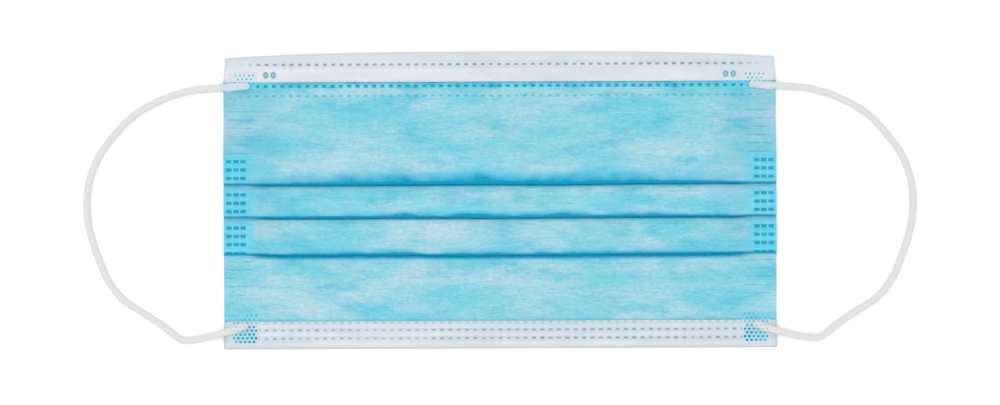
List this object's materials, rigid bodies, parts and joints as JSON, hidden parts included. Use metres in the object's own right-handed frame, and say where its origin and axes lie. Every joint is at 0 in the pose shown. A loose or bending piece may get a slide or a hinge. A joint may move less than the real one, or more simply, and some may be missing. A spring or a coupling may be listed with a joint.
{
  "type": "surgical face mask",
  "caption": "Flat-folded pleated cloth face mask with turned-over nose and chin bands, a nose wire and elastic ear loops fused on at the corners.",
  "frame": {"origin": "centre of the cloth's outline, on the surface it lies on; the ear loops are left out of that centre", "axes": "+X towards the wearer's left ear as the outer face is looked at (right in the view from above), +Y towards the nose edge, +Z out of the blue outer face, away from the surface"},
  "size_m": [0.2638, 0.094, 0.0049],
  "materials": {
    "outer_cloth": "matte light-blue spunbond nonwoven",
    "inner_cloth": "matte white spunbond nonwoven",
    "coated_wire": "white plastic-coated steel strip",
    "elastic_cord": "white knitted round elastic",
    "fused_cloth": "cloth fused by ultrasonic weld dots"
  },
  "bodies": {
    "root": {"pleated_body": "outer_cloth", "top_band": "inner_cloth", "bottom_band": "inner_cloth", "nose_wire": "coated_wire", "ear_loop_left": "elastic_cord", "ear_loop_right": "elastic_cord", "loop_weld_top_left": "fused_cloth", "loop_weld_bottom_left": "fused_cloth", "loop_weld_top_right": "fused_cloth", "loop_weld_bottom_right": "fused_cloth"}
  },
  "joints": []
}
